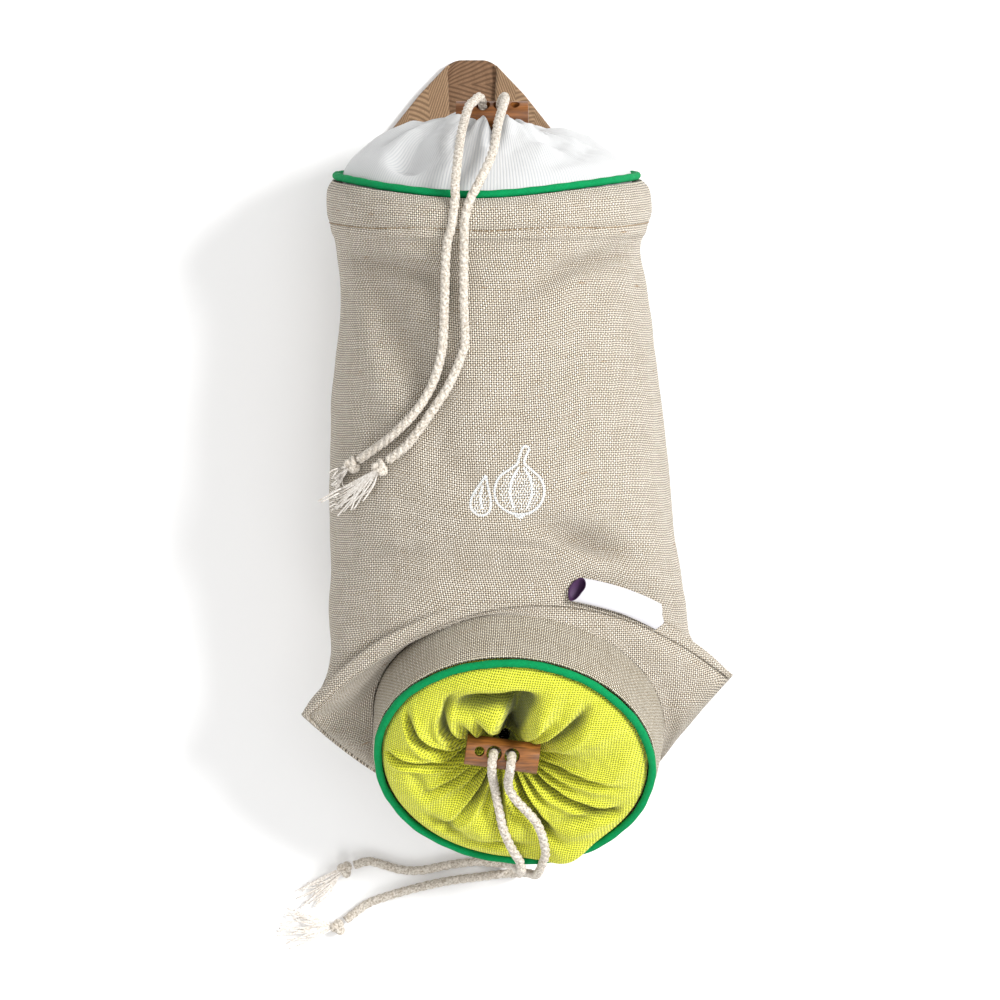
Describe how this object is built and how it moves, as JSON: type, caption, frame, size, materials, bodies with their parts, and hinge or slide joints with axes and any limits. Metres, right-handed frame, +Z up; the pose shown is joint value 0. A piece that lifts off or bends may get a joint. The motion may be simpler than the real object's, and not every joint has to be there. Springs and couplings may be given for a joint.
{
  "type": "garlic storage bag",
  "caption": "Round linen storage bag lying on its back, closed at head and foot by gathered covers with drawcords, wooden toggles, pointed seam ears and a hanging loop of tape.",
  "frame": {"origin": "under the middle of the bag on the table, without the loose cords", "axes": "+Y from the foot towards the hanging loop at the head, +X to the bag's right in the picture, +Z up from the table"},
  "size_m": [0.1532, 0.308, 0.1043],
  "materials": {
    "linen": "plain-weave linen canvas",
    "band": "linen twill",
    "cotton": "fine white cotton",
    "lime": "lime canvas",
    "piping": "green piping",
    "wood": "turned and oiled",
    "cord": "twisted cotton",
    "tape": "herringbone twill tape",
    "label": "woven satin"
  },
  "bodies": {
    "root": {"body_canvas": "linen", "end_panel": "linen", "mouth_band": "band", "mouth_piping": "piping", "mouth_cover": "lime", "mouth_toggle": "wood", "top_piping": "piping", "top_cover": "cotton", "top_toggle": "wood", "hanging_loop": "tape", "side_label": "label", "top_cord_left": "cord", "top_cord_right": "cord", "mouth_cord_left": "cord", "mouth_cord_right": "cord", "top_knot_left": "cord", "top_knot_right": "cord", "mouth_knot_left": "cord", "mouth_knot_right": "cord"}
  },
  "joints": []
}
